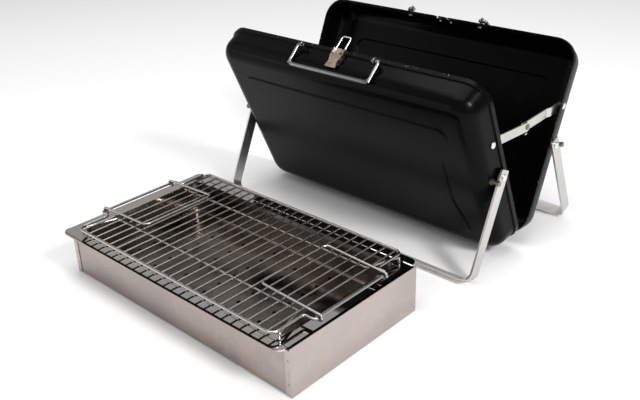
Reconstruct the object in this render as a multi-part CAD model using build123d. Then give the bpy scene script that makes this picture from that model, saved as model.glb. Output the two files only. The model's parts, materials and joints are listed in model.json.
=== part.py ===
from build123d import *
import math
import os

# A folding camp grill laid out for use. The painted suitcase stands open as a V on two
# splayed legs, and the stainless firebox with its charcoal tray and wire grate stands in front
# of it.
#
# Frame: millimetres, +Z up, X along the suitcase hinge and the firebox's long walls.
# The origin is the middle of the firebox's underside, on the ground; the suitcase is on the +Y side.

# ---------------------------------------------------------------- driving dimensions
# Suitcase shells (two alike, back to back along the hinge)
SHELL_LENGTH = 430.0
SHELL_HEIGHT = 265.0
SHELL_DEPTH = 42.0
SHEET = 1.0
RIM_RADIUS = 31.0
BAND_DEPTH = 7.0
BAND_STEP = 1.3
STEP_RADIUS = 0.9
WALL_DRAFT = 8.0
FACE_RADIUS = 21.0
HEM_WIDTH = 2.2
HEM_DEPTH = 3.5
PANEL_RAISE = 2.0
SEAM_GAP = 0.15
HINGE_SETBACK = 3.0
HINGE_HEIGHT = 12.8
HALF_OPENING = 23.5
CASE_Y = 312.0
NOTCH_X = 8.5
NOTCH_WIDTH = 6.0
NOTCH_DEPTH = 8.0

# Hinges: two short leaves with three knuckles each
HINGE_X = 118.0
HINGE_LENGTH = 46.0
KNUCKLE = 15.4
BARREL_RADIUS = 2.5
HINGE_PIN = 1.2
LEAF = 1.0
LEAF_DEPTH = 8.4
HINGE_RIVET_DEPTH = 5.2
HINGE_RIVET_OUT = 15.0

# Legs: a U of flat bar on each shell
LEG_PIVOT_UP = 132.0
LEG_PIVOT_DEPTH = 13.2
LEG_LEAN = 24.6
LEG_WIDTH = 17.0
LEG_THICKNESS = 2.5
LEG_INSIDE = 215.4
LEG_BEND = 16.0
LEG_END = 9.5
LEG_STOP_DOWN = 8.0
LEG_STOP_RADIUS = 2.5

# Folding stays between the shells, one pair at each end
STAY_UP = 184.0
STAY_DEPTH = 13.2
STAY_SAG = 4.0
STAY_WIDTH = 12.0
STAY_THICKNESS = 2.0
STAY_OUTER_FACE = 209.0
STAY_JOG = 26.0

# Carrying handles
HANDLE_WIRE = 2.5
HANDLE_SPAN = 67.0
HANDLE_ARM = 30.0
HANDLE_BEND = 7.0
HANDLE_EYE_X = 60.5
HANDLE_AXIS_UP = 272.5
HANDLE_AXIS_DEPTH = 11.0
HANDLE_DROOP = 20.0
EYE_RING = 3.8
EYE_WIRE = 1.0

# Toggle latch
LATCH_AXIS_UP = 271.3
LATCH_AXIS_DEPTH = 6.0
LEVER_WIDTH = 18.6
LEVER_LENGTH = 26.0
LEVER_DROOP = 20.0
LOOP_REACH = 25.0
LOOP_WIRE = 0.95
LOOP_SETBACK = 4.8
LOOP_LIFT = 18.5
LOOP_HALF_WIDTH = 7.0
LATCH_PIN = 0.9
BASE_START = BAND_DEPTH + 2.0
BASE_LENGTH = 17.0
BASE_THICKNESS = 1.0
BASE_HALF_WIDTH = 7.6
EAR_OUTSIDE = 5.2
KEEPER_START = BAND_DEPTH + 1.8
KEEPER_LENGTH = 9.0
KEEPER_WIDTH = 25.0
HOOK_START = 3.1
HOOK_WIDTH = 9.0
HOOK_RISE = 4.1
HOOK_REACH = 4.6

# Firebox
FIREBOX_LENGTH = 390.0
FIREBOX_WIDTH = 208.0
FIREBOX_WALL = 59.5
FIREBOX_END = 61.5
FIREBOX_SHEET = 0.8
FLAP_WIDTH = 8.0
FLAP_GAP = 0.02

# Charcoal tray
TRAY_X = -6.0
FLANGE_LENGTH = 392.0
FLANGE_WIDTH = 231.0
FLANGE_RADIUS = 11.0
FLANGE_TOP = 60.6
FLANGE_SHEET = 0.8
CREASE_INNER = 102.0
CREASE_OUTER = 103.2
CREASE_RISE = 0.5
LIP_DEPTH = 1.0
BASIN_LENGTH = 360.0
BASIN_WIDTH = 190.0
BASIN_FLOOR = 16.0

# Grate
GRATE_X = -1.5
GRATE_Z = 70.2
GRATE_LENGTH = 348.0
GRATE_WIDTH = 212.0
GRATE_BULGE = 15.5
GRATE_BULGE_WIDTH = 120.0
GRATE_WIRE = 1.7
GRATE_PITCH = 14.4
BAR_WIRE = 1.2
SUPPORT_WIRE = 1.5
SUPPORT_Y = 56.0
FOOT_Y = 98.5
FOOT_OUT = 2.0
FOOT_GAP = 0.7
GRATE_HANDLE_WIRE = 1.6
GRATE_HANDLE_REACH = 87.0
GRATE_HANDLE_HALF = 53.5
GRATE_HANDLE_TILT = 2.5
GRATE_EYE_ARC = 265.0
WELD = 0.3

RUNNING_FIT = 0.05
SLIDE_GAP = 0.3

# ---------------------------------------------------------------- frames
OPENING = math.radians(HALF_OPENING)
LEAN = math.radians(LEG_LEAN)

# In a shell's frame X runs along the hinge, Y up the rim plane and Z out through the face.
front_frame = Plane(origin=(0, CASE_Y, HINGE_HEIGHT), x_dir=(1, 0, 0),
                    z_dir=(0, -math.cos(OPENING), -math.sin(OPENING)))
rear_frame = Plane(origin=(0, CASE_Y, HINGE_HEIGHT), x_dir=(-1, 0, 0),
                   z_dir=(0, math.cos(OPENING), -math.sin(OPENING)))


def on_front(shape):
    return front_frame.location * shape


def on_rear(shape):
    return rear_frame.location * shape


def both_ends(shape):
    """The shape and its mirror image at the other end of the hinge line."""
    return Compound(children=[shape, mirror(shape, Plane.YZ)])


def rod(start, end, radius):
    """A round bar between two points."""
    axis = Vector(*end) - Vector(*start)
    plane = Plane(origin=start, z_dir=axis)
    return plane.location * Cylinder(radius, axis.length, align=(Align.CENTER, Align.CENTER, Align.MIN))


def bent_wire(points, radius, bend):
    """A round wire through the points, with the same bend radius at each corner."""
    path = FilletPolyline(*points, radius=bend)
    section = Plane(origin=path @ 0, z_dir=path % 0) * Circle(radius)
    return sweep(section, path=path)


def ring_wire(outline, radius):
    """A round wire around a closed flat outline."""
    path = outline.wire()
    section = Plane(origin=path @ 0, z_dir=path % 0) * Circle(radius)
    return sweep(section, path=path)


def wall_x(depth):
    """Outer face of a shell's end wall at a depth below the rim plane."""
    return SHELL_LENGTH / 2 - BAND_STEP - depth * math.tan(math.radians(WALL_DRAFT))


def wall_up(depth):
    """Outer face of a shell's top wall at a depth below the rim plane."""
    return HINGE_SETBACK + SHELL_HEIGHT - BAND_STEP - depth * math.tan(math.radians(WALL_DRAFT))


# ---------------------------------------------------------------- shells
def face_panel(inset):
    """The raised panel on a shell's big face, with waisted sides and rounded corners."""
    outline = Polyline((-178 + inset, 34 + inset), (178 - inset, 34 + inset), (156 - inset, 95),
                       (156 - inset, 160), (178 - inset, 219 - inset), (-178 + inset, 219 - inset),
                       (-156 + inset, 160), (-156 + inset, 95), close=True)
    panel = make_face(outline)
    return fillet(panel.vertices(), 14)


def shell_form(inset):
    """The closed outer form of a shell, or its cavity when inset by the sheet thickness."""
    middle = HINGE_SETBACK + SHELL_HEIGHT / 2
    band = RectangleRounded(SHELL_LENGTH - 2 * inset, SHELL_HEIGHT - 2 * inset, RIM_RADIUS - inset)
    form = Pos(0, middle, 0) * extrude(band, BAND_DEPTH - inset)
    step = BAND_STEP + inset
    body = RectangleRounded(SHELL_LENGTH - 2 * step, SHELL_HEIGHT - 2 * step, RIM_RADIUS - step)
    body = extrude(body, SHELL_DEPTH - inset, taper=WALL_DRAFT)
    body = fillet(body.faces().sort_by(Axis.Z)[-1].edges(), FACE_RADIUS - inset)
    form += Pos(0, middle, 0) * body
    joggle = [edge for edge in form.edges() if abs(edge.bounding_box().max.Z - BAND_DEPTH + inset) < 0.01]
    form = fillet(joggle, STEP_RADIUS)
    panel = extrude(face_panel(inset), PANEL_RAISE, taper=45)
    return form + Pos(0, 0, SHELL_DEPTH - inset) * panel


def shell():
    """A pressed tray with a joggled rim band, a hemmed edge and a raised panel on its face."""
    middle = HINGE_SETBACK + SHELL_HEIGHT / 2
    hem = RectangleRounded(SHELL_LENGTH, SHELL_HEIGHT, RIM_RADIUS)
    hem -= RectangleRounded(SHELL_LENGTH - 2 * HEM_WIDTH, SHELL_HEIGHT - 2 * HEM_WIDTH,
                            RIM_RADIUS - HEM_WIDTH)
    hem = Pos(0, middle, 0) * extrude(hem, HEM_DEPTH)
    seam = Pos(0, middle, 0) * Box(2 * SHELL_LENGTH, 2 * SHELL_HEIGHT, 2 * SEAM_GAP)
    return shell_form(0) - shell_form(SHEET) + hem - seam


# ---------------------------------------------------------------- fasteners
def rivet(x, up, depth, reach, head_radius, head_height, shank_radius):
    """A domed rivet along X: its head starts at x and its shank runs inward by reach."""
    dome = Plane((x, up, depth), x_dir=(0, 1, 0), z_dir=(1, 0, 0)).location
    head = dome * Cylinder(head_radius, head_height, align=(Align.CENTER, Align.CENTER, Align.MIN))
    head = fillet(head.edges().sort_by(Axis.X)[-1], head_height * 0.6)
    return head + rod((x - reach, up, depth), (x, up, depth), shank_radius)


def wall_rivet(x, up, depth, head_radius, shoulder):
    """A rivet through a shell's end wall, with an inner head and a shouldered outer end."""
    inside = wall_x(depth) - SHEET
    body = rivet(x, up, depth, x - inside + 0.2, head_radius, 1.8, 2.4)
    body += rod((inside - 0.9, up, depth), (inside + 0.1, up, depth), 3.6)
    if shoulder > 0:
        body += rod((inside + 0.3, up, depth), (inside + shoulder, up, depth), 3.9)
    return body


def leg_rivets():
    outside = LEG_INSIDE + LEG_THICKNESS + 0.1
    shoulder = LEG_INSIDE - 0.1 - wall_x(LEG_PIVOT_DEPTH) + SHEET
    return both_ends(wall_rivet(outside, LEG_PIVOT_UP, LEG_PIVOT_DEPTH, 4.4, shoulder))


def leg_stops():
    """The bolts that the splayed legs bear on: shank, nut against the wall, pan head outside."""
    turn = OPENING + LEAN
    along = LEG_STOP_DOWN
    across = LEG_WIDTH / 2 + SLIDE_GAP + LEG_STOP_RADIUS
    up = LEG_PIVOT_UP - along * math.cos(turn) + across * math.sin(turn)
    depth = LEG_PIVOT_DEPTH + along * math.sin(turn) + across * math.cos(turn)
    inside = wall_x(depth) - SHEET
    outside = LEG_INSIDE + LEG_THICKNESS + 0.4
    bolt = rod((inside - 3.5, up, depth), (outside, up, depth), LEG_STOP_RADIUS)
    bolt += rod((outside, up, depth), (outside + 2.6, up, depth), 3.6)
    nut = Plane((inside - 2.8, up, depth), z_dir=(1, 0, 0)).location * extrude(RegularPolygon(4.4, 6), 2.8)
    collar = rod((inside + 0.2, up, depth), (inside + SHEET + 1.9, up, depth), 4.2)
    return both_ends(bolt + nut + collar)


def stay_rivets(link_inner_face):
    """The rivets that hang a stay's end inside a shell's end wall."""
    outside = wall_x(STAY_DEPTH)
    reach = outside - link_inner_face + 0.3
    body = rivet(outside, STAY_UP, STAY_DEPTH, reach, 4.4, 1.8, 2.2)
    spacer = rod((link_inner_face + STAY_THICKNESS + 0.1, STAY_UP, STAY_DEPTH),
                 (outside - SHEET, STAY_UP, STAY_DEPTH), 3.6)
    tail = rod((link_inner_face - 1.1, STAY_UP, STAY_DEPTH), (link_inner_face - 0.1, STAY_UP, STAY_DEPTH), 3.8)
    return both_ends(body + spacer + tail)


# ---------------------------------------------------------------- hinges
def hinge_leaf(middle_knuckle):
    """A hinge leaf lying on the hinge-side rim band, with its knuckles on the hinge axis."""
    plate = Pos(0, HINGE_SETBACK - LEAF / 2, SEAM_GAP + LEAF_DEPTH / 2) * Box(HINGE_LENGTH, LEAF, LEAF_DEPTH)
    ends = Box(HINGE_LENGTH, 3 * BARREL_RADIUS, 3 * BARREL_RADIUS)
    middle = Box(KNUCKLE, 3 * BARREL_RADIUS, 3 * BARREL_RADIUS)
    wider = Box(KNUCKLE + 0.6, 3 * BARREL_RADIUS, 3 * BARREL_RADIUS)
    zone = middle if middle_knuckle else ends - wider
    barrel = rod((-HINGE_LENGTH / 2, 0, 0), (HINGE_LENGTH / 2, 0, 0), BARREL_RADIUS) & zone
    other = rod((-HINGE_LENGTH, 0, 0), (HINGE_LENGTH, 0, 0), BARREL_RADIUS + SLIDE_GAP)
    other &= Box(2 * HINGE_LENGTH, 8, 8) - zone
    bore = rod((-HINGE_LENGTH, 0, 0), (HINGE_LENGTH, 0, 0), HINGE_PIN + RUNNING_FIT)
    leaf = plate - other + barrel - bore
    return Pos(-HINGE_X, 0, 0) * leaf, Pos(HINGE_X, 0, 0) * leaf


def hinge_leaves(middle_knuckle):
    return Compound(children=list(hinge_leaf(middle_knuckle)))


def hinge_pins():
    pin = rod((-HINGE_LENGTH / 2 - 0.6, 0, 0), (HINGE_LENGTH / 2 + 0.6, 0, 0), HINGE_PIN)
    for side in (-1, 1):
        end = side * (HINGE_LENGTH / 2 + 0.2)
        pin += rod((end, 0, 0), (end + side * 0.9, 0, 0), 1.8)
    return Compound(children=[Pos(-HINGE_X, 0, 0) * pin, Pos(HINGE_X, 0, 0) * pin])


def hinge_rivets():
    """Small rivets through each leaf and the rim band."""
    bodies = []
    outside = HINGE_SETBACK - LEAF
    for centre in (-HINGE_X, HINGE_X):
        for side in (-1, 1):
            x = centre + side * HINGE_RIVET_OUT
            depth = HINGE_RIVET_DEPTH
            body = rod((x, outside - 0.8, depth), (x, outside, depth), 2.2)
            body += rod((x, outside - 0.1, depth), (x, HINGE_SETBACK + SHEET + 0.1, depth), 1.3)
            body += rod((x, HINGE_SETBACK + SHEET, depth), (x, HINGE_SETBACK + SHEET + 0.7, depth), 1.6)
            bodies.append(body)
    return Compound(children=bodies)


# ---------------------------------------------------------------- legs
def leg():
    """A U of flat bar hung from two pivots; local Y runs up the arms and Z across the bar."""
    outer_x = LEG_INSIDE + LEG_THICKNESS
    drop = math.cos(OPENING) * LEG_PIVOT_UP - math.sin(OPENING) * LEG_PIVOT_DEPTH + HINGE_HEIGHT
    reach = (drop - LEG_WIDTH / 2 * math.sin(LEAN)) / math.cos(LEAN)
    outer = make_face(Polyline((-outer_x, LEG_END), (-outer_x, -reach), (outer_x, -reach),
                               (outer_x, LEG_END), close=True))
    outer = fillet(outer.vertices().group_by(Axis.Y)[0], LEG_BEND)
    inner = make_face(Polyline((-LEG_INSIDE, 2 * LEG_END), (-LEG_INSIDE, LEG_THICKNESS - reach),
                               (LEG_INSIDE, LEG_THICKNESS - reach), (LEG_INSIDE, 2 * LEG_END), close=True))
    inner = fillet(inner.vertices().group_by(Axis.Y)[0], LEG_BEND - LEG_THICKNESS)
    bar = extrude(outer - inner, LEG_WIDTH / 2, both=True)
    tips = bar.edges().filter_by(Axis.X).group_by(Axis.Y)[-1]
    bar = fillet(tips, 2.5)
    return bar - rod((-2 * outer_x, 0, 0), (2 * outer_x, 0, 0), 2.4 + RUNNING_FIT)


def place_leg(shape, side):
    """Hang a leg on the front shell (side -1) or the rear shell (side 1), splayed on its stops."""
    out = math.sin(OPENING) * LEG_PIVOT_UP + math.cos(OPENING) * LEG_PIVOT_DEPTH
    height = HINGE_HEIGHT + math.cos(OPENING) * LEG_PIVOT_UP - math.sin(OPENING) * LEG_PIVOT_DEPTH
    plane = Plane(origin=(0, CASE_Y + side * out, height), x_dir=(-side, 0, 0),
                  z_dir=(0, side * math.cos(LEAN), math.sin(LEAN)))
    return plane.location * shape


# ---------------------------------------------------------------- folding stays
def stay_pivot(side):
    """A stay's pivot on a shell, measured from the hinge line's foot on the ground."""
    out = math.sin(OPENING) * STAY_UP + math.cos(OPENING) * STAY_DEPTH
    height = HINGE_HEIGHT + math.cos(OPENING) * STAY_UP - math.sin(OPENING) * STAY_DEPTH
    return Vector(0, side * out, height)


STAY_REACH = math.hypot(stay_pivot(1).Y, STAY_SAG)
STAY_TILT = math.degrees(math.atan2(STAY_SAG, stay_pivot(1).Y))


def front_link():
    """A straight flat link; Y runs from its shell pivot to the middle pivot, X is the thickness."""
    ends = SlotCenterToCenter(STAY_REACH, STAY_WIDTH)
    face = Plane(origin=(STAY_OUTER_FACE, STAY_REACH / 2, 0), x_dir=(0, 1, 0), z_dir=(-1, 0, 0))
    link = extrude(face * ends, STAY_THICKNESS)
    return link - rod((0, 0, 0), (2 * STAY_OUTER_FACE, 0, 0), 2.2 + RUNNING_FIT)


def rear_link():
    """A flat link jogged inward to pass beside the front link, with the opening stop under its end."""
    near = STAY_OUTER_FACE
    far = STAY_OUTER_FACE - STAY_THICKNESS - SLIDE_GAP
    end = STAY_REACH + STAY_WIDTH / 2
    start = -STAY_WIDTH / 2
    jog = STAY_JOG
    side = make_face(Polyline((near, start), (near, jog), (far, jog + 8), (far, end + 5),
                              (far - STAY_THICKNESS, end + 5), (far - STAY_THICKNESS, jog + 8),
                              (near - STAY_THICKNESS, jog), (near - STAY_THICKNESS, start), close=True))
    bar = extrude(side, STAY_WIDTH / 2, both=True)
    outline = Plane.YZ * SlotCenterToCenter(STAY_REACH + 5, STAY_WIDTH)
    bar &= Pos(0, (STAY_REACH + 5) / 2, 0) * extrude(outline, 2 * STAY_OUTER_FACE, both=True)
    tab = Pos(far + STAY_THICKNESS / 2, STAY_REACH + 5, -STAY_WIDTH / 2 - 1.5)
    tab *= Box(2.6 * STAY_THICKNESS, 5, 1.6)
    web = Pos(far - STAY_THICKNESS / 2, STAY_REACH + 5, -STAY_WIDTH / 2 + 1.2)
    web *= Box(STAY_THICKNESS, 5, 6)
    return bar + tab + web - rod((0, 0, 0), (2 * STAY_OUTER_FACE, 0, 0), 2.2 + RUNNING_FIT)


def place_stay(shape, side, end):
    """Hang a link on the front (side -1) or rear (side 1) shell, at the left or right end."""
    if end < 0:
        shape = mirror(shape, Plane.YZ)
    if side > 0:
        shape = mirror(shape, Plane.XZ)
    pivot = stay_pivot(side)
    return Pos(0, CASE_Y + pivot.Y, pivot.Z) * (Rot(side * STAY_TILT, 0, 0) * shape)


def outer_stay_pin():
    """The middle pivot's outer half: a domed head and a shank through the front link only."""
    head = rod((STAY_OUTER_FACE, STAY_REACH, 0), (STAY_OUTER_FACE + 1.4, STAY_REACH, 0), 3.6)
    head = fillet(head.edges().sort_by(Axis.X)[-1], 0.8)
    return head + rod((STAY_OUTER_FACE - STAY_THICKNESS, STAY_REACH, 0), (STAY_OUTER_FACE, STAY_REACH, 0), 2.0)


def inner_stay_pin():
    """The middle pivot's inner half: a flat head and a shank through the rear link only."""
    face = STAY_OUTER_FACE - 2 * STAY_THICKNESS - SLIDE_GAP
    head = rod((face - 1.2, STAY_REACH, 0), (face, STAY_REACH, 0), 3.6)
    return head + rod((face, STAY_REACH, 0), (face + STAY_THICKNESS, STAY_REACH, 0), 2.0)


# ---------------------------------------------------------------- carrying handles
def handle_eyes():
    """Wire eyes standing on a shell's top wall, each clenched under the wall."""
    centre = (HANDLE_EYE_X, HANDLE_AXIS_UP, HANDLE_AXIS_DEPTH)
    ring = Plane(centre, z_dir=(1, 0, 0)).location * Torus(EYE_RING, EYE_WIRE)
    foot = wall_up(HANDLE_AXIS_DEPTH)
    stem = rod((HANDLE_EYE_X, foot - SHEET - 1.5, HANDLE_AXIS_DEPTH),
               (HANDLE_EYE_X, HANDLE_AXIS_UP - EYE_RING + 0.1, HANDLE_AXIS_DEPTH), 1.3)
    clench = rod((HANDLE_EYE_X, foot - SHEET - 1.9, HANDLE_AXIS_DEPTH),
                 (HANDLE_EYE_X, foot - SHEET + 0.1, HANDLE_AXIS_DEPTH), 3.4)
    return both_ends(ring + stem + clench)


def carry_handle():
    """A U of thick wire whose ends turn inward through the eyes; it lies on the shell's shoulder."""
    droop = math.radians(HANDLE_DROOP)
    bar_up = HANDLE_AXIS_UP - HANDLE_ARM * math.sin(droop)
    bar_depth = HANDLE_AXIS_DEPTH + HANDLE_ARM * math.cos(droop)
    points = [(HANDLE_EYE_X - 4, HANDLE_AXIS_UP, HANDLE_AXIS_DEPTH),
              (HANDLE_SPAN, HANDLE_AXIS_UP, HANDLE_AXIS_DEPTH),
              (HANDLE_SPAN, bar_up, bar_depth),
              (-HANDLE_SPAN, bar_up, bar_depth),
              (-HANDLE_SPAN, HANDLE_AXIS_UP, HANDLE_AXIS_DEPTH),
              (4 - HANDLE_EYE_X, HANDLE_AXIS_UP, HANDLE_AXIS_DEPTH)]
    ends = bent_wire(points[:3], HANDLE_WIRE, 3.2)
    grip = bent_wire([((points[1][0] + points[2][0]) / 2, (points[1][1] + points[2][1]) / 2,
                       (points[1][2] + points[2][2]) / 2), points[2], points[3],
                      ((points[3][0] + points[4][0]) / 2, (points[3][1] + points[4][1]) / 2,
                       (points[3][2] + points[4][2]) / 2)], HANDLE_WIRE, HANDLE_BEND)
    return ends + mirror(ends, Plane.YZ) + grip


# ---------------------------------------------------------------- toggle latch
def latch_base():
    """A riveted plate on the front shell's top wall with two ears that carry the lever's pin."""
    seat = wall_up(BASE_START)
    plate = Box(2 * BASE_HALF_WIDTH, BASE_THICKNESS, BASE_LENGTH, align=(Align.CENTER, Align.MIN, Align.MIN))
    plate = fillet(plate.edges().filter_by(Axis.Y).group_by(Axis.Z)[-1], 3)
    plate = Pos(0, seat, BASE_START) * (Rot(WALL_DRAFT, 0, 0) * plate)
    ear = make_face(Polyline((10.8, seat + 0.2), (15.5, seat - 0.4), (14.5, seat + 3), (8.6, LATCH_AXIS_UP + 2),
                             (4.2, LATCH_AXIS_UP + 2), (4.2, LATCH_AXIS_UP - 1.4), (10.8, LATCH_AXIS_UP - 1.4),
                             close=True))
    ear = Plane((0, 0, 0), x_dir=(0, 0, 1), z_dir=(-1, 0, 0)).location * extrude(ear, BASE_THICKNESS)
    ear = Pos(EAR_OUTSIDE, 0, 0) * ear
    ears = ear + mirror(ear, Plane.YZ)
    bore = rod((-20, LATCH_AXIS_UP, LATCH_AXIS_DEPTH), (20, LATCH_AXIS_UP, LATCH_AXIS_DEPTH), LATCH_PIN)
    return plate + ears - bore


def small_rivets(spots, seat_thickness):
    """Small rivets through a plate and a shell's top wall at the given (x, depth) spots."""
    bodies = []
    for x, depth in spots:
        top = wall_up(depth) + seat_thickness
        body = rod((x, top - 0.05, depth), (x, top + 0.7, depth), 1.9)
        body += rod((x, wall_up(depth) - SHEET - 0.1, depth), (x, top, depth), 1.2)
        body += rod((x, wall_up(depth) - SHEET - 0.8, depth), (x, wall_up(depth) - SHEET + 0.05, depth), 2.1)
        bodies.append(body)
    return Compound(children=bodies)


def latch_pin():
    """The lever's pin, through the base's two ears and the lever's middle tongue."""
    reach = EAR_OUTSIDE + 0.5
    pin = rod((-reach, LATCH_AXIS_UP, LATCH_AXIS_DEPTH), (reach, LATCH_AXIS_UP, LATCH_AXIS_DEPTH), LATCH_PIN)
    for side in (-1, 1):
        pin += rod((side * reach, LATCH_AXIS_UP, LATCH_AXIS_DEPTH),
                   (side * (EAR_OUTSIDE + 0.05), LATCH_AXIS_UP, LATCH_AXIS_DEPTH), 1.4)
    return pin


def loop_axis():
    """The loop's pivot on the lever, set back from the lever's own pin."""
    tilt = math.radians(6)
    return (LATCH_AXIS_UP - LOOP_SETBACK * math.sin(tilt), LATCH_AXIS_DEPTH + LOOP_SETBACK * math.cos(tilt))


def latch_lever():
    """An hourglass strap with side flanges; slots beside its middle tongue clear the loop's legs."""
    half = LEVER_WIDTH / 2
    outline = make_face(Polyline((-half, 6.8), (half, 6.8), (half, 10), (half - 2.4, 17), (half, LEVER_LENGTH),
                                 (-half, LEVER_LENGTH), (2.4 - half, 17), (-half, 10), close=True))
    outline = fillet(outline.vertices().group_by(Axis.Y)[-1], 1.5)
    lever = Pos(0, 0, 2.5) * extrude(outline, 1)
    lever += Pos(0, 2.8, 3) * Box(7.8, 8.6, 1)
    lever += Pos(0, -0.2, 1.6) * Box(7.8, 2.6, 2.6) + rod((-3.9, 0, 0), (3.9, 0, 0), 2)
    for side in (-1, 1):
        lever += Pos(side * (half - 0.5), 3.5, 0.95) * Box(1, 11.8, 5.1)
    lever = fillet(lever.edges().filter_by(Axis.X).group_by(Axis.Y)[0], 1.0)
    lever -= rod((-4, 0, 0), (4, 0, 0), LATCH_PIN + RUNNING_FIT)
    droop = math.radians(LEVER_DROOP)
    # local Y runs along the strap toward the shell's face, local Z away from the wall
    plane = Plane(origin=(0, LATCH_AXIS_UP, LATCH_AXIS_DEPTH), x_dir=(-1, 0, 0),
                  z_dir=(0, math.cos(droop), math.sin(droop)))
    placed = plane.location * lever
    up, depth = loop_axis()
    return placed - rod((-20, up, depth), (20, up, depth), LOOP_WIRE + RUNNING_FIT)


def latch_loop():
    """A wire loop hung on the lever, raised over the rims toward the keeper."""
    up, depth = loop_axis()
    lift = math.radians(LOOP_LIFT)
    far_up = up + LOOP_REACH * math.sin(lift)
    far_depth = depth - LOOP_REACH * math.cos(lift)
    end = LEVER_WIDTH / 2 + 0.3
    middle_up = (up + far_up) / 2
    middle_depth = (depth + far_depth) / 2
    half = LOOP_HALF_WIDTH
    pivot = bent_wire([(end, up, depth), (half, up, depth), (half, middle_up, middle_depth)], LOOP_WIRE, 1.2)
    front = bent_wire([(half, middle_up, middle_depth), (half, far_up, far_depth), (-half, far_up, far_depth),
                       (-half, middle_up, middle_depth)], LOOP_WIRE, 3.0)
    return pivot + mirror(pivot, Plane.YZ) + front


def latch_keeper():
    """A riveted plate on the rear shell's top wall with a hook that opens away from the seam."""
    base = (Align.CENTER, Align.MIN, Align.MIN)
    plate = Box(KEEPER_WIDTH, BASE_THICKNESS, KEEPER_LENGTH, align=base)
    plate = fillet(plate.edges().filter_by(Axis.Y), 2)
    web = Pos(0, 0, HOOK_START) * Box(HOOK_WIDTH, HOOK_RISE, 1.1, align=base)
    lip = Pos(0, HOOK_RISE - 1, HOOK_START) * Box(HOOK_WIDTH, 1, HOOK_REACH, align=base)
    return Pos(0, wall_up(KEEPER_START), KEEPER_START) * (Rot(WALL_DRAFT, 0, 0) * (plate + web + lip))


# ---------------------------------------------------------------- firebox
def firebox_trough():
    """The floor and the two long walls, folded from one sheet."""
    outer = Pos(0, 0, FIREBOX_WALL / 2) * Box(FIREBOX_LENGTH - 2 * FIREBOX_SHEET, FIREBOX_WIDTH, FIREBOX_WALL)
    outer = fillet(outer.edges().filter_by(Axis.X).group_by(Axis.Z)[0], 1.6)
    inner = Pos(0, 0, FIREBOX_SHEET + FIREBOX_WALL)
    inner *= Box(FIREBOX_LENGTH, FIREBOX_WIDTH - 2 * FIREBOX_SHEET, 2 * FIREBOX_WALL)
    return outer - inner


def firebox_end(height):
    """An end wall with flaps folded round the outside of the long walls."""
    half = FIREBOX_LENGTH / 2
    plate = Pos(half - FIREBOX_SHEET / 2, 0, height / 2)
    plate *= Box(FIREBOX_SHEET, FIREBOX_WIDTH + 2 * FIREBOX_SHEET + 2 * FLAP_GAP, height)
    flap_y = FIREBOX_WIDTH / 2 + FLAP_GAP + FIREBOX_SHEET / 2
    flap_height = FIREBOX_WALL - 2.2
    for side in (-1, 1):
        flap = Pos(half - FLAP_WIDTH / 2, side * flap_y, 1.6 + flap_height / 2)
        plate += flap * Box(FLAP_WIDTH, FIREBOX_SHEET, flap_height)
    outside = plate.edges().filter_by(Axis.Z).group_by(Axis.X)[-1]
    return fillet(outside, 0.6)


def spot_welds():
    """The shallow pads left by spot welding the flaps to the long walls."""
    pads = []
    for end in (-1, 1):
        for side in (-1, 1):
            for height in (15, 30, 45):
                x = end * (FIREBOX_LENGTH / 2 - FLAP_WIDTH / 2 - 0.4)
                y = side * (FIREBOX_WIDTH / 2 + FLAP_GAP + FIREBOX_SHEET)
                pads.append(rod((x, y, height), (x, y + side * 0.25, height), 1.6))
    return Compound(children=pads)


def flange_solid(depth):
    """The flange's outline under its creased top surface, down to the given depth."""
    edge = FLANGE_WIDTH / 2
    top = [(-edge, CREASE_RISE), (-CREASE_OUTER, CREASE_RISE), (-CREASE_INNER, 0),
           (CREASE_INNER, 0), (CREASE_OUTER, CREASE_RISE), (edge, CREASE_RISE)]
    bottom = [(y, z - depth) for y, z in reversed(top)]
    section = make_face(Plane.YZ * Polyline(*top, *bottom, close=True))
    outline = RectangleRounded(FLANGE_LENGTH, FLANGE_WIDTH, FLANGE_RADIUS)
    return extrude(section, FLANGE_LENGTH / 2, both=True) & extrude(outline, 2 * FLANGE_TOP, both=True)


def charcoal_tray():
    """A pressed basin with a creased flange, a turned-down edge and rows of air holes."""
    rim = RectangleRounded(FLANGE_LENGTH - 1.8, FLANGE_WIDTH - 1.8, FLANGE_RADIUS - 0.9)
    lip = flange_solid(FLANGE_SHEET + LIP_DEPTH) - extrude(rim, 2 * FLANGE_TOP, both=True)
    for side in (-1, 1):
        wall_y = side * (FIREBOX_WIDTH + FIREBOX_SHEET) / 2
        lip -= Pos(FLANGE_LENGTH / 2, wall_y, -FLANGE_SHEET - LIP_DEPTH) * Box(12, 4, 2 * LIP_DEPTH)
    depth = FLANGE_TOP - BASIN_FLOOR
    basin = extrude(RectangleRounded(BASIN_LENGTH, BASIN_WIDTH, 12), -depth, taper=4)
    basin = fillet(basin.faces().sort_by(Axis.Z)[0].edges(), 5)
    cavity = extrude(RectangleRounded(BASIN_LENGTH - 2, BASIN_WIDTH - 2, 11), 1 - depth, taper=4)
    cavity = fillet(cavity.faces().sort_by(Axis.Z)[0].edges(), 4)
    tray = flange_solid(FLANGE_SHEET) + lip + basin - cavity
    for row in range(-3, 4):
        # every other row is shifted by half a pitch and has one hole less
        offset = 12 * (row % 2)
        for step in range(-3, 4 - row % 2):
            tray -= Pos(row * 48, step * 24 + offset, -depth) * Box(8, 5, 6)
    return Pos(TRAY_X, 0, FLANGE_TOP) * tray


# ---------------------------------------------------------------- grate
def at_grate(shape):
    return Pos(GRATE_X, 0, GRATE_Z) * shape


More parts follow.
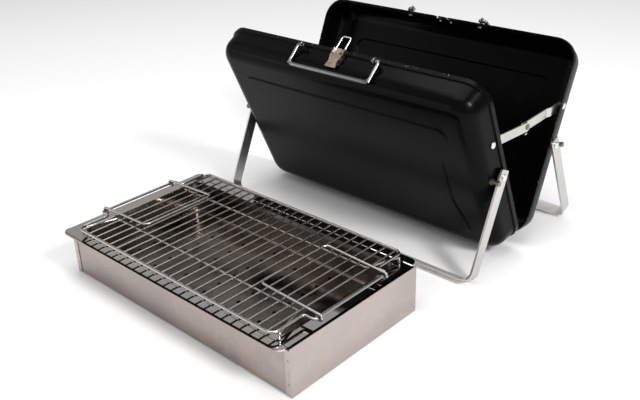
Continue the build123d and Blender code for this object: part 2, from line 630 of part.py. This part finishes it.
def grate_frame():
    """A closed wire with a bar standing out past each end, where the handles hang."""
    x = GRATE_LENGTH / 2
    y = GRATE_WIDTH / 2
    out = x + GRATE_BULGE
    step = GRATE_BULGE_WIDTH / 2
    outline = make_face(Polyline((-x, -y), (x, -y), (x, -step), (out, -step), (out, step), (x, step), (x, y),
                                 (-x, y), (-x, step), (-out, step), (-out, -step), (-x, -step), close=True))
    corners = outline.vertices().filter_by(lambda v: abs(v.Y) > y - 1)
    outline = fillet(corners, 9)
    steps = outline.vertices().filter_by(lambda v: abs(abs(v.Y) - step) < 0.1)
    outline = fillet(steps, 4).face()
    return at_grate(ring_wire(outline.outer_wire(), GRATE_WIRE))


def grate_bars():
    """Evenly spaced cross bars in the frame's plane, their ends let into it."""
    half = GRATE_WIDTH / 2 - GRATE_WIRE + WELD
    count = int(GRATE_LENGTH // GRATE_PITCH)
    bars = []
    for index in range(count):
        x = (index - (count - 1) / 2) * GRATE_PITCH
        bars.append(rod((x, -half, 0), (x, half, 0), BAR_WIRE))
    return at_grate(Compound(children=bars))


def grate_supports():
    """Two long wires under the cross bars, turned out to the corners and down as feet."""
    height = WELD - BAR_WIRE - SUPPORT_WIRE
    foot = FLANGE_TOP + FOOT_GAP - GRATE_Z
    x = GRATE_LENGTH / 2 - 12
    corner_x = GRATE_LENGTH / 2 + FOOT_OUT
    wires = []
    for side in (-1, 1):
        near_y = side * SUPPORT_Y
        corner_y = side * FOOT_Y
        points = [(-corner_x, corner_y, foot), (-corner_x, corner_y, height), (-x, near_y, height),
                  (x, near_y, height), (corner_x, corner_y, height), (corner_x, corner_y, foot)]
        wires.append(bent_wire(points, SUPPORT_WIRE, 2.2))
    return at_grate(Compound(children=wires))


def grate_handle():
    """A U of wire with an open eye round the grate's end bar at each arm, folded in over the bars."""
    axis_x = GRATE_LENGTH / 2 + GRATE_BULGE
    eye = GRATE_WIRE + SLIDE_GAP + GRATE_HANDLE_WIRE
    inner_x = -GRATE_HANDLE_REACH
    half = GRATE_HANDLE_HALF
    wire = bent_wire([(0, -half, eye), (inner_x, -half, eye), (inner_x, half, eye), (0, half, eye)],
                     GRATE_HANDLE_WIRE, 7)
    for side in (-1, 1):
        plane = Plane((0, side * half, 0), x_dir=(1, 0, 0), z_dir=(0, -1, 0))
        path = plane.location * CenterArc((0, 0), eye, 90, -GRATE_EYE_ARC)
        wire += sweep(Plane(origin=path @ 0, z_dir=path % 0) * Circle(GRATE_HANDLE_WIRE), path=path)
    return Pos(axis_x, 0, 0) * (Rot(0, GRATE_HANDLE_TILT, 0) * wire)


# ---------------------------------------------------------------- assembly
def front_case_parts():
    base_spots = [(0, 17), (0, 24)]
    parts = {
        "front_leg_rivets": leg_rivets(),
        "front_leg_stops": leg_stops(),
        "front_stay_rivets": stay_rivets(STAY_OUTER_FACE - STAY_THICKNESS),
        "front_hinge_rivets": hinge_rivets(),
        "front_handle_eyes": handle_eyes(),
        "latch_base_rivets": small_rivets(base_spots, BASE_THICKNESS),
    }
    front_shell = shell()
    for fastener in parts.values():
        front_shell -= fastener
    parts["front_shell"] = front_shell
    parts["front_hinge_leaves"] = hinge_leaves(True) - parts["front_hinge_rivets"]
    parts["hinge_pins"] = hinge_pins()
    parts["latch_base"] = latch_base() - parts["latch_base_rivets"]
    parts["latch_pin"] = latch_pin()
    return {name: on_front(part) for name, part in parts.items()}


def rear_case_parts():
    keeper_spots = [(-9, 15.5), (9, 15.5)]
    parts = {
        "rear_leg_rivets": leg_rivets(),
        "rear_leg_stops": leg_stops(),
        "rear_stay_rivets": stay_rivets(STAY_OUTER_FACE - STAY_THICKNESS),
        "rear_hinge_rivets": hinge_rivets(),
        "rear_handle_eyes": handle_eyes(),
        "keeper_rivets": small_rivets(keeper_spots, BASE_THICKNESS),
    }
    rear_shell = shell()
    for fastener in parts.values():
        rear_shell -= fastener
    for side in (-1, 1):
        notch = Box(NOTCH_WIDTH, 12, 2 * NOTCH_DEPTH)
        rear_shell -= Pos(side * NOTCH_X, HINGE_SETBACK + SHELL_HEIGHT, 0) * notch
    parts["rear_shell"] = rear_shell
    parts["rear_hinge_leaves"] = hinge_leaves(False) - parts["rear_hinge_rivets"]
    parts["latch_keeper"] = latch_keeper() - parts["keeper_rivets"]
    return {name: on_rear(part) for name, part in parts.items()}


def moving_case_parts():
    parts = {
        "front_leg": place_leg(leg(), -1),
        "rear_leg": place_leg(leg(), 1),
        "front_handle": on_front(carry_handle()),
        "rear_handle": on_rear(carry_handle()),
        "latch_lever": on_front(latch_lever()),
        "latch_loop": on_front(latch_loop()),
    }
    for name, end in (("left", -1), ("right", 1)):
        parts["front_stay_" + name] = place_stay(front_link() - outer_stay_pin(), -1, end)
        parts["outer_stay_pin_" + name] = place_stay(outer_stay_pin(), -1, end)
        parts["rear_stay_" + name] = place_stay(rear_link() - inner_stay_pin(), 1, end)
        parts["inner_stay_pin_" + name] = place_stay(inner_stay_pin(), 1, end)
    return parts


def firebox_parts():
    right_end = firebox_end(FIREBOX_END)
    left_end = mirror(firebox_end(FIREBOX_WALL), Plane.YZ)
    return {
        "firebox_trough": firebox_trough(),
        "firebox_end_right": right_end,
        "firebox_end_left": left_end,
        "firebox_spot_welds": spot_welds(),
        "charcoal_tray": charcoal_tray(),
        "grate_frame": grate_frame(),
        "grate_bars": grate_bars(),
        "grate_supports": grate_supports(),
        "grate_handle_right": at_grate(grate_handle()),
        "grate_handle_left": at_grate(Rot(0, 0, 180) * grate_handle()),
    }


os.makedirs("parts", exist_ok=True)
for group in (front_case_parts(), rear_case_parts(), moving_case_parts(), firebox_parts()):
    for name, part in group.items():
        export_step(part, "parts/" + name + ".step")
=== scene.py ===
import bpy
import json
import math
from mathutils import Matrix, Vector


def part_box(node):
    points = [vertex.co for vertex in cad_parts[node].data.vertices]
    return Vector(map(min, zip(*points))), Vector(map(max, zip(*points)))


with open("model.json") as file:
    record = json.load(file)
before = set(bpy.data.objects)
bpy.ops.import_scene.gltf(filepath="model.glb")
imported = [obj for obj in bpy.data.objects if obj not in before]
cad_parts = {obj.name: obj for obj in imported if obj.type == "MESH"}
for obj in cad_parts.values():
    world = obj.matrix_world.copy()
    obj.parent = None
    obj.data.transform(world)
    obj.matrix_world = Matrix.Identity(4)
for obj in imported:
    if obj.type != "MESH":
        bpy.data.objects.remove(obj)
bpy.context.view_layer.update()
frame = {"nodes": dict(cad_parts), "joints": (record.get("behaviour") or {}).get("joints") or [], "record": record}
nodes = frame["nodes"]


# ---------------------------------------------------------------- shader helpers
# Where a Mix node keeps its colours among its sockets.
MIX_COLOUR_A = 6
MIX_COLOUR_B = 7
MIX_COLOUR_OUT = 2


def tinted(colour, factor):
    """The colour made lighter or darker, and never past white."""
    return tuple(min(1.0, channel * factor) for channel in colour)


def drawn_out(axis, stretch):
    """A stretch that draws noise out along one axis (0, 1 or 2)."""
    return tuple(stretch if index == axis else 1.0 for index in range(3))


class Shader:
    """A node material built step by step around one Principled shader."""

    def __init__(self, name):
        self.material = bpy.data.materials.new(name)
        self.material.use_nodes = True
        self.tree = self.material.node_tree
        self.bsdf = self.tree.nodes["Principled BSDF"]
        self.object_coords = self.tree.nodes.new("ShaderNodeTexCoord").outputs["Object"]

    def set(self, **values):
        """Constants on the shader's own sockets; an underscore stands for a space in a socket's name."""
        for key, value in values.items():
            self.bsdf.inputs[key.replace("_", " ")].default_value = value

    def link(self, source, target):
        self.tree.links.new(source, target)

    def math(self, operation, a, b=None, clamp=False):
        """One arithmetic step on two numbers or outputs, or on one where the operation takes one."""
        node = self.tree.nodes.new("ShaderNodeMath")
        node.operation = operation
        node.use_clamp = clamp
        for index, value in enumerate((a, b)):
            if value is None:
                continue
            if isinstance(value, (int, float)):
                node.inputs[index].default_value = value
            else:
                self.link(value, node.inputs[index])
        return node.outputs[0]

    def scaled(self, scale, offset=(0, 0, 0)):
        """Object coordinates in metres, stretched along each axis and shifted."""
        node = self.tree.nodes.new("ShaderNodeMapping")
        node.inputs["Scale"].default_value = scale
        node.inputs["Location"].default_value = offset
        self.link(self.object_coords, node.inputs["Vector"])
        return node.outputs[0]

    def noise(self, scale, stretch=(1, 1, 1), detail=3.0, roughness=0.55, offset=(0, 0, 0)):
        """Noise around 0.5, scale cells to the metre; a small stretch draws it out along an axis."""
        node = self.tree.nodes.new("ShaderNodeTexNoise")
        node.inputs["Scale"].default_value = scale
        node.inputs["Detail"].default_value = detail
        node.inputs["Roughness"].default_value = roughness
        self.link(self.scaled(stretch, offset), node.inputs["Vector"])
        return node.outputs["Fac"]

    def remap(self, value, low, high, to_low=0.0, to_high=1.0):
        """A smooth step from one number at low to another at high."""
        node = self.tree.nodes.new("ShaderNodeMapRange")
        node.clamp = True
        node.interpolation_type = "SMOOTHSTEP"
        self.link(value, node.inputs["Value"])
        for key, number in (("From Min", low), ("From Max", high), ("To Min", to_low), ("To Max", to_high)):
            node.inputs[key].default_value = number
        return node.outputs[0]

    def along(self, direction, origin=(0, 0, 0)):
        """Distance along a direction from a point, in metres."""
        shift = self.tree.nodes.new("ShaderNodeVectorMath")
        shift.operation = "SUBTRACT"
        self.link(self.object_coords, shift.inputs[0])
        shift.inputs[1].default_value = origin
        dot = self.tree.nodes.new("ShaderNodeVectorMath")
        dot.operation = "DOT_PRODUCT"
        self.link(shift.outputs[0], dot.inputs[0])
        dot.inputs[1].default_value = direction
        return dot.outputs["Value"]

    def facing(self, direction):
        """How squarely the surface faces a direction, from -1 to 1."""
        dot = self.tree.nodes.new("ShaderNodeVectorMath")
        dot.operation = "DOT_PRODUCT"
        self.link(self.tree.nodes.new("ShaderNodeTexCoord").outputs["Normal"], dot.inputs[0])
        dot.inputs[1].default_value = direction
        return dot.outputs["Value"]

    def mix(self, factor, a, b):
        """Colour a where the factor is 0 and colour b where it is 1."""
        node = self.tree.nodes.new("ShaderNodeMix")
        node.data_type = "RGBA"
        if isinstance(factor, (int, float)):
            node.inputs[0].default_value = factor
        else:
            self.link(factor, node.inputs[0])
        for index, value in ((MIX_COLOUR_A, a), (MIX_COLOUR_B, b)):
            if isinstance(value, tuple):
                node.inputs[index].default_value = (*value, 1)
            else:
                self.link(value, node.inputs[index])
        return node.outputs[MIX_COLOUR_OUT]

    def colour(self, output):
        self.link(output, self.bsdf.inputs["Base Color"])

    def rough(self, output):
        self.link(output, self.bsdf.inputs["Roughness"])

    def bump(self, *layers):
        """Layers of (height output, strength, distance in metres), one on top of the other."""
        normal = None
        for height, strength, distance in layers:
            node = self.tree.nodes.new("ShaderNodeBump")
            node.inputs["Strength"].default_value = strength
            node.inputs["Distance"].default_value = distance
            self.link(height, node.inputs["Height"])
            if normal is not None:
                self.link(normal, node.inputs["Normal"])
            normal = node.outputs[0]
        self.link(normal, self.bsdf.inputs["Normal"])


# ---------------------------------------------------------------- materials
HALF_OPENING = math.radians(23.5)
HINGE = next(joint for joint in frame["joints"] if joint["name"] == "case_fold")["pos_m"]

# Bands in metres over which one look turns into another.
HEM_BAND = (0.0012, 0.0048)
LEG_CORNER_BAND = (0.2105, 0.2130)
TRAY_BASIN_BAND = (0.0090, 0.0045)
TRAY_RIM_BAND = (0.0045, 0.0010)

# Near-black colour painted onto the undersides of wires as painted shade.
UNDERSIDE_SHADE_COLOUR = (0.020, 0.017, 0.015)


def shell_depth(shader, side):
    """Depth below a shell's rim plane; side is -1 for the front shell and 1 for the rear."""
    return shader.along((0, side * math.cos(HALF_OPENING), -math.sin(HALF_OPENING)), HINGE)


def case_paint(name, side):
    """Satin black stoved paint: fine texture, soft handling marks, bare glints on the hem."""
    s = Shader(name)
    s.set(Metallic=0.0, Specular_IOR_Level=0.07)
    depth = shell_depth(s, side)
    smears = s.noise(9, detail=4, roughness=0.6)
    grain = s.noise(1500, detail=2)
    hem = s.remap(depth, *HEM_BAND, 1.0, 0.0)
    chips = s.remap(s.noise(160, detail=5, roughness=0.7), 0.60, 0.68)
    worn = s.math("MULTIPLY", hem, chips)
    dust = s.remap(s.noise(26, detail=6, roughness=0.7), 0.50, 0.78, 0.0, 0.35)
    black = s.mix(dust, (0.0016, 0.0015, 0.0015), (0.0060, 0.0054, 0.0050))
    s.colour(s.mix(worn, black, (0.16, 0.15, 0.14)))
    base = s.remap(smears, 0.3, 0.75, 0.20, 0.28)
    s.rough(s.math("ADD", base, s.math("MULTIPLY", s.math("SUBTRACT", grain, 0.5), 0.10)))
    s.bump((grain, 0.10, 0.00035), (s.noise(38, detail=2), 0.10, 0.0012))
    return s.material


def brushed(name, colour, roughness, grain_axis, tint=0.08):
    """Metal with a directional grain along one axis (0, 1 or 2) and slow colour drift."""
    s = Shader(name)
    s.set(Metallic=1.0)
    grain = s.noise(1400, drawn_out(grain_axis, 0.02), detail=4, roughness=0.65)
    drift = s.noise(14, detail=3)
    s.colour(s.mix(s.remap(drift, 0.3, 0.7), tinted(colour, 1 - tint), tinted(colour, 1 + tint)))
    spread = s.math("MULTIPLY", s.math("SUBTRACT", grain, 0.5), 0.16)
    base = s.remap(drift, 0.3, 0.7, roughness - 0.03, roughness + 0.04)
    s.rough(s.math("ADD", base, spread, clamp=True))
    s.bump((grain, 0.16, 0.00012))
    return s.material


def leg_metal(name):
    """Satin flat bar: grain along the arms and along the foot, with dull scuffs; the foot's paler colour is
    painted light.
    """
    s = Shader(name)
    s.set(Metallic=1.0)
    across = s.math("ABSOLUTE", s.along((1, 0, 0)))
    foot = s.remap(across, *LEG_CORNER_BAND, 1.0, 0.0)
    arm_grain = s.noise(1.0, (1600, 60, 60), detail=4)
    foot_grain = s.noise(1.0, (60, 1500, 1500), detail=4)
    grain = s.math("ADD", s.math("MULTIPLY", arm_grain, s.math("SUBTRACT", 1.0, foot)),
                   s.math("MULTIPLY", foot_grain, foot))
    scuffs = s.remap(s.noise(55, detail=6, roughness=0.75), 0.56, 0.66)
    tone = s.remap(s.noise(10), 0.3, 0.7)
    arms = s.mix(tone, (0.57, 0.55, 0.535), (0.65, 0.63, 0.62))
    # Painted light: the foot of the same bar gets a paler colour than the arms.
    s.colour(s.mix(foot, arms, (0.86, 0.83, 0.81)))
    satin = s.math("ADD", s.math("MULTIPLY", grain, 0.16), s.remap(scuffs, 0, 1, 0.30, 0.40))
    s.rough(s.math("ADD", satin, s.math("MULTIPLY", foot, 0.22)))
    s.bump((grain, 0.2, 0.0001), (s.noise(90, detail=2), 0.08, 0.0006))
    return s.material


def plated(name, colour, roughness, dull=(0.35, 0.33, 0.30), dull_amount=0.25, scale=260):
    """Small plated parts: fine mottling, a few dull patches and slight dents."""
    s = Shader(name)
    s.set(Metallic=1.0)
    mottle = s.noise(scale, detail=4, roughness=0.6)
    blotch = s.noise(scale * 0.45, detail=5, roughness=0.7, offset=(3, 1, 2))
    patch = s.remap(blotch, 0.5, 0.7, 0.0, dull_amount)
    tone = s.mix(s.remap(mottle, 0.35, 0.65), tinted(colour, 0.9), tinted(colour, 1.08))
    s.colour(s.mix(patch, tone, dull))
    base = s.remap(mottle, 0.3, 0.7, roughness - 0.04, roughness + 0.05)
    s.rough(s.math("ADD", base, s.math("MULTIPLY", patch, 0.5)))
    s.bump((mottle, 0.08, 0.0002))
    return s.material


def wire(name, colour, roughness, stain=0.35, underside_shade=0.0):
    """Bright plated wire: tiny draw lines, patches of brown stain and painted shade on the undersides."""
    s = Shader(name)
    s.set(Metallic=1.0)
    fine = s.noise(900, detail=3)
    slow = s.noise(35, detail=4, roughness=0.65)
    blotch = s.noise(70, detail=5, roughness=0.7, offset=(5, 2, 7))
    patch = s.remap(blotch, 0.55, 0.72, 0.0, stain)
    tone = s.mix(s.remap(slow, 0.3, 0.7), tinted(colour, 0.92), colour)
    stained = s.mix(patch, tone, (0.42, 0.36, 0.30))
    # Painted shade: surfaces facing down are darkened towards the near-black colour, up to the given amount.
    under = s.remap(s.facing((0, 0, -1)), -0.1, 0.35, 0.0, underside_shade)
    s.colour(s.mix(under, stained, UNDERSIDE_SHADE_COLOUR))
    base = s.remap(slow, 0.3, 0.7, roughness, roughness + 0.06)
    s.rough(s.math("ADD", base, s.math("MULTIPLY", patch, 0.18)))
    s.bump((fine, 0.06, 0.0001))
    return s.material


def firebox_sheet(name, colour, grain_axis, waves):
    """Bright stainless sheet: fine roll grain, shallow waves in metres, faint brown smears and drips."""
    s = Shader(name)
    s.set(Metallic=1.0)
    grain = s.noise(1500, drawn_out(grain_axis, 0.015), detail=4, roughness=0.65)
    cloud = s.noise(11, (1, 1, 1.6), detail=5, roughness=0.6)
    drips = s.noise(60, (1, 1, 0.12), detail=4, roughness=0.6, offset=(1, 4, 0))
    smear = s.math("MULTIPLY", s.remap(cloud, 0.46, 0.70), s.remap(drips, 0.42, 0.62))
    tone = s.mix(s.remap(cloud, 0.3, 0.7), tinted(colour, 0.93), tinted(colour, 1.06))
    s.colour(s.mix(s.math("MULTIPLY", smear, 0.45), tone, (0.50, 0.40, 0.33)))
    rough = s.remap(cloud, 0.3, 0.7, 0.20, 0.27)
    rough = s.math("ADD", rough, s.math("MULTIPLY", s.math("SUBTRACT", grain, 0.5), 0.14))
    s.rough(s.math("ADD", rough, s.math("MULTIPLY", smear, 0.10), clamp=True))
    s.bump((grain, 0.12, 0.0001), (s.noise(9, detail=1), 0.6, waves))
    return s.material


def tray_sheet(name):
    """Mirror-bright pressed stainless: a basin browned by heat and dulled by ash, and a brown rim."""
    s = Shader(name)
    s.set(Metallic=1.0)
    _, outer_y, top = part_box("charcoal_tray")[1]
    height = s.along((0, 0, 1))
    basin = s.remap(height, *(top - below for below in TRAY_BASIN_BAND), 1.0, 0.0)
    cloud = s.noise(16, detail=5, roughness=0.62)
    fine = s.noise(900, (1, 0.05, 1), detail=3)
    ash = s.math("MULTIPLY", basin, s.remap(cloud, 0.40, 0.66))
    clean = s.mix(s.remap(cloud, 0.3, 0.7), (0.61, 0.57, 0.54), (0.69, 0.655, 0.63))
    browned = s.mix(s.remap(cloud, 0.35, 0.65), (0.15, 0.115, 0.095), (0.27, 0.225, 0.195))
    across = s.math("ABSOLUTE", s.along((0, 1, 0)))
    rim = s.remap(across, *(outer_y - inside for inside in TRAY_RIM_BAND), 0.0, 0.75)
    edged = s.mix(rim, clean, (0.26, 0.19, 0.15))
    s.colour(s.mix(s.math("MULTIPLY", basin, 0.95), edged, browned))
    rough = s.remap(cloud, 0.3, 0.7, 0.03, 0.055)
    rough = s.math("ADD", rough, s.math("MULTIPLY", basin, 0.10))
    s.rough(s.math("ADD", rough, s.math("MULTIPLY", ash, 0.14)))
    s.bump((fine, 0.04, 0.00008), (s.noise(12, detail=1), 0.25, 0.0006))
    return s.material


by_node = {
    "front_shell": case_paint("front_case_paint", -1),
    "rear_shell": case_paint("rear_case_paint", 1),
    "front_leg": leg_metal("front_leg_metal"),
    "rear_leg": leg_metal("rear_leg_metal"),
    "charcoal_tray": tray_sheet("tray_steel"),
    # The firebox's sides and ends are one stainless steel in two colours: the sides' darker colour is painted
    # shade.
    "firebox_trough": firebox_sheet("firebox_side_steel_painted_shade", (0.35, 0.305, 0.29), 0, 0.0022),
}
by_slot = {
    # The ends' lighter copy of the same steel is painted light.
    "firebox": firebox_sheet("firebox_end_steel_painted_light", (0.45, 0.40, 0.38), 1, 0.0012),
    "stay_bar": brushed("stay_steel", (0.60, 0.60, 0.56), 0.30, 1),
    "rivet": plated("rivet_zinc", (0.80, 0.79, 0.76), 0.26, dull_amount=0.15),
    "stop_bolt": plated("stop_bolt_zinc", (0.25, 0.22, 0.16), 0.33, (0.10, 0.09, 0.07), 0.5),
    "hinge": plated("hinge_zinc", (0.50, 0.50, 0.48), 0.34),
    "handle_wire": wire("handle_chrome", (0.25, 0.24, 0.235), 0.10, stain=0.15),
    "latch": plated("latch_zinc", (0.55, 0.44, 0.35), 0.26, (0.36, 0.28, 0.21), scale=120),
    "latch_wire": wire("latch_wire", (0.78, 0.76, 0.72), 0.12),
    # The grate wire gets strong painted shade on its undersides.
    "grate_wire": wire("grate_chrome", (0.50, 0.48, 0.46), 0.19, underside_shade=0.95),
}
for part in frame["record"]["subparts"]:
    finish = by_node.get(part["node"]) or by_slot[part["material_slot"]]
    for slot in nodes[part["node"]].material_slots:
        slot.material = finish


# ---------------------------------------------------------------- floor, light, camera
FLOOR_REACH = 12.0
WORLD_STRENGTH = 0.42

# The camera in metres and degrees, turned left of +Y and tipped down.
CAMERA_PLACE = Vector((0.6768, -0.5654, 0.5579))
CAMERA_YAW = math.radians(43.31)
CAMERA_PITCH = math.radians(26.50)
CAMERA_ROLL = math.radians(-1.77)
CAMERA_LENS = 46.5
CAMERA_SENSOR = 36.0


def floor():
    """Plain pale paper under the object."""
    mesh = bpy.data.meshes.new("floor")
    corners = [(-1, -1), (1, -1), (1, 1), (-1, 1)]
    mesh.from_pydata([(FLOOR_REACH * x, FLOOR_REACH * y, 0) for x, y in corners], [], [(0, 1, 2, 3)])
    plane = bpy.data.objects.new("floor", mesh)
    bpy.context.scene.collection.objects.link(plane)
    s = Shader("floor_paper")
    s.set(Roughness=0.9, Specular_IOR_Level=0.2)
    s.colour(s.mix(s.noise(2.5, detail=2), (0.955, 0.955, 0.955), (0.97, 0.97, 0.97)))
    mesh.materials.append(s.material)


def softbox(name, place, target, width, height, power):
    """A white rectangular lamp at a place, turned to a target; sizes in metres, power in watts."""
    data = bpy.data.lights.new(name, "AREA")
    data.shape = "RECTANGLE"
    data.size = width
    data.size_y = height
    data.energy = power
    lamp = bpy.data.objects.new(name, data)
    lamp.location = place
    lamp.rotation_euler = (Vector(target) - Vector(place)).to_track_quat("-Z", "Y").to_euler()
    bpy.context.scene.collection.objects.link(lamp)


def camera():
    """Three-quarter view from the right, looking down on the firebox."""
    ahead = Vector((-math.sin(CAMERA_YAW), math.cos(CAMERA_YAW), 0))
    forward = math.cos(CAMERA_PITCH) * ahead - Vector((0, 0, math.sin(CAMERA_PITCH)))
    level = Vector((math.cos(CAMERA_YAW), math.sin(CAMERA_YAW), 0))
    upright = level.cross(forward)
    right = math.cos(CAMERA_ROLL) * level + math.sin(CAMERA_ROLL) * upright
    up = -math.sin(CAMERA_ROLL) * level + math.cos(CAMERA_ROLL) * upright
    data = bpy.data.cameras.new("camera")
    data.sensor_width = CAMERA_SENSOR
    data.lens = CAMERA_LENS
    view = bpy.data.objects.new("camera", data)
    turn = Matrix((right, up, -forward)).transposed().to_4x4()
    view.matrix_world = Matrix.Translation(CAMERA_PLACE) @ turn
    bpy.context.scene.collection.objects.link(view)
    bpy.context.scene.camera = view


floor()
middle = (0, 0.15, 0.1)
shoulder = (0.2, 0.2, 0.24)
softbox("overhead", (-0.2, 0.1, 2.3), middle, 2.0, 2.0, 31)
softbox("left", (-2.0, -1.2, 1.1), middle, 1.2, 1.6, 3.5)
softbox("right", (1.9, -0.6, 1.3), middle, 1.0, 1.4, 5)
softbox("edge", (1.72, -0.02, 1.52), shoulder, 0.45, 0.45, 26)
softbox("low_left", (-1.9, -2.2, 0.45), middle, 1.6, 0.9, 5)
world = bpy.data.worlds.new("studio")
world.use_nodes = True
background = world.node_tree.nodes["Background"]
background.inputs["Color"].default_value = (1, 1, 1, 1)
background.inputs["Strength"].default_value = WORLD_STRENGTH
bpy.context.scene.world = world
bpy.context.scene.view_settings.view_transform = "Standard"
camera()
